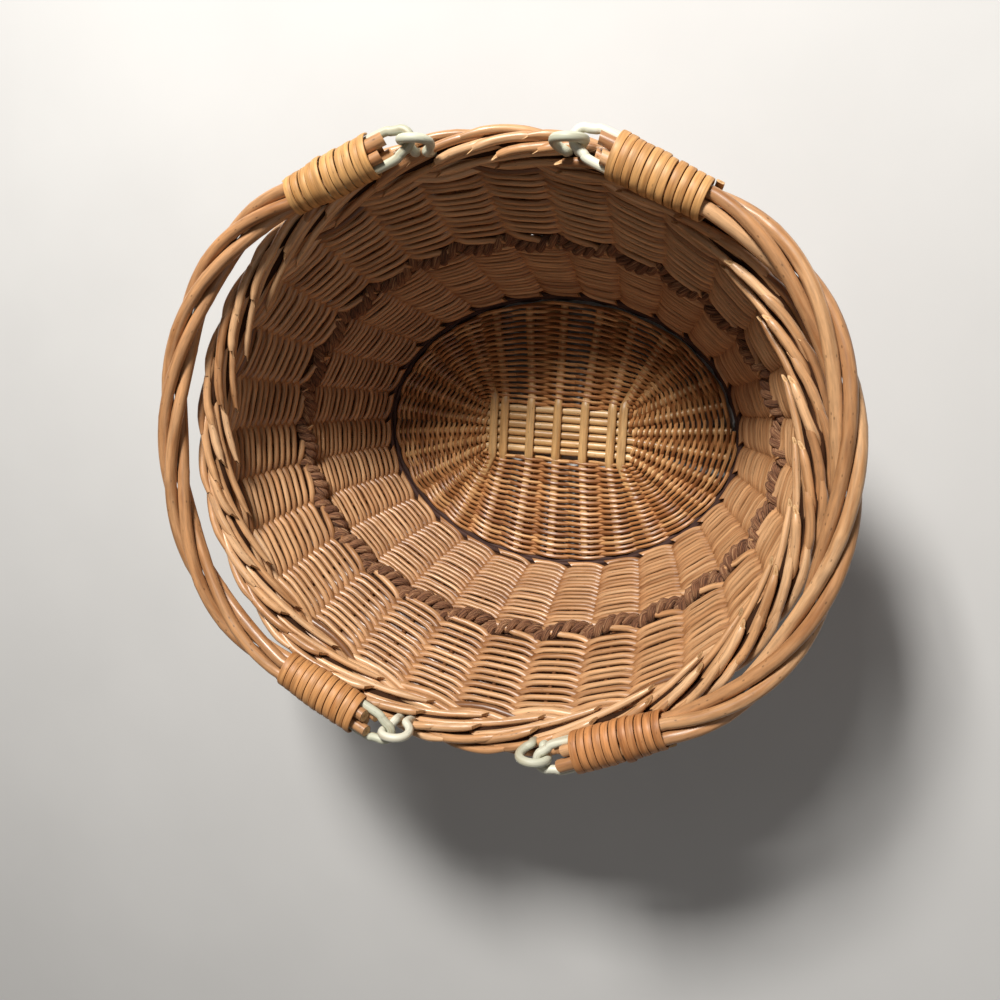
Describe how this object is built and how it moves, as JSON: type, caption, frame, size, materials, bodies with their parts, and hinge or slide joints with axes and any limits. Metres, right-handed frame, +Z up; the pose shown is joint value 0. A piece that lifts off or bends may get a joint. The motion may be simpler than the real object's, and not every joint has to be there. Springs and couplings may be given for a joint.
{
  "type": "gathering basket",
  "caption": "Oval willow gathering basket with a stick base, randed walls, a dark rope band, a plaited-look border and swing handles hung on looped cane.",
  "frame": {"origin": "middle of the oval base, on the surface the basket stands on", "axes": "+X along the long axis of the oval, towards the right handle; +Y across it, towards the back; +Z up"},
  "size_m": [0.473, 0.4172, 0.2358],
  "materials": {
    "willow": "satin",
    "pale_willow": "satin",
    "base_willow": "satin",
    "dark_strand": "matte",
    "seagrass": "matte",
    "loop_cane": "satin",
    "binding_cane": "gloss"
  },
  "bodies": {
    "basket": {"foot_wale": "dark_strand", "base_weave": "base_willow", "long_stick_1": "pale_willow", "long_stick_2": "pale_willow", "long_stick_3": "pale_willow", "long_stick_4": "pale_willow", "long_stick_5": "pale_willow", "long_stick_6": "pale_willow", "cross_stick_1": "pale_willow", "cross_stick_2": "pale_willow", "cross_stick_3": "pale_willow", "cross_stick_4": "pale_willow", "cross_stick_5": "pale_willow", "cross_stick_6": "pale_willow", "cross_stick_7": "pale_willow", "corner_stick_1": "pale_willow", "corner_stick_2": "pale_willow", "corner_stick_3": "pale_willow", "corner_stick_4": "pale_willow", "lower_wall": "willow", "rope_band": "seagrass", "upper_wall": "willow", "top_wale": "willow", "border_rod_1": "willow", "border_rod_2": "willow", "border_rod_3": "willow", "border_loop_front_left": "loop_cane", "border_loop_front_right": "loop_cane", "border_loop_back_left": "loop_cane", "border_loop_back_right": "loop_cane"},
    "right_handle": {"right_handle_rod_1": "willow", "right_handle_rod_2": "willow", "right_handle_rod_3": "willow", "right_handle_rod_4": "willow", "right_handle_loop_back": "loop_cane", "right_handle_loop_front": "loop_cane", "right_binding_back": "binding_cane", "right_binding_front": "binding_cane"},
    "left_handle": {"left_handle_rod_1": "willow", "left_handle_rod_2": "willow", "left_handle_rod_3": "willow", "left_handle_rod_4": "willow", "left_handle_loop_back": "loop_cane", "left_handle_loop_front": "loop_cane", "left_binding_back": "binding_cane", "left_binding_front": "binding_cane"}
  },
  "joints": [
    {"name": "right_handle_swing", "type": "hinge", "parent": "basket", "child": "right_handle", "pos_m": [0.04954, 0, 0.22237], "axis": [0, -1, 0], "range_deg": [0, 98]},
    {"name": "left_handle_swing", "type": "hinge", "parent": "basket", "child": "left_handle", "pos_m": [-0.04954, 0, 0.22237], "axis": [0, 1, 0], "range_deg": [0, 98]}
  ]
}
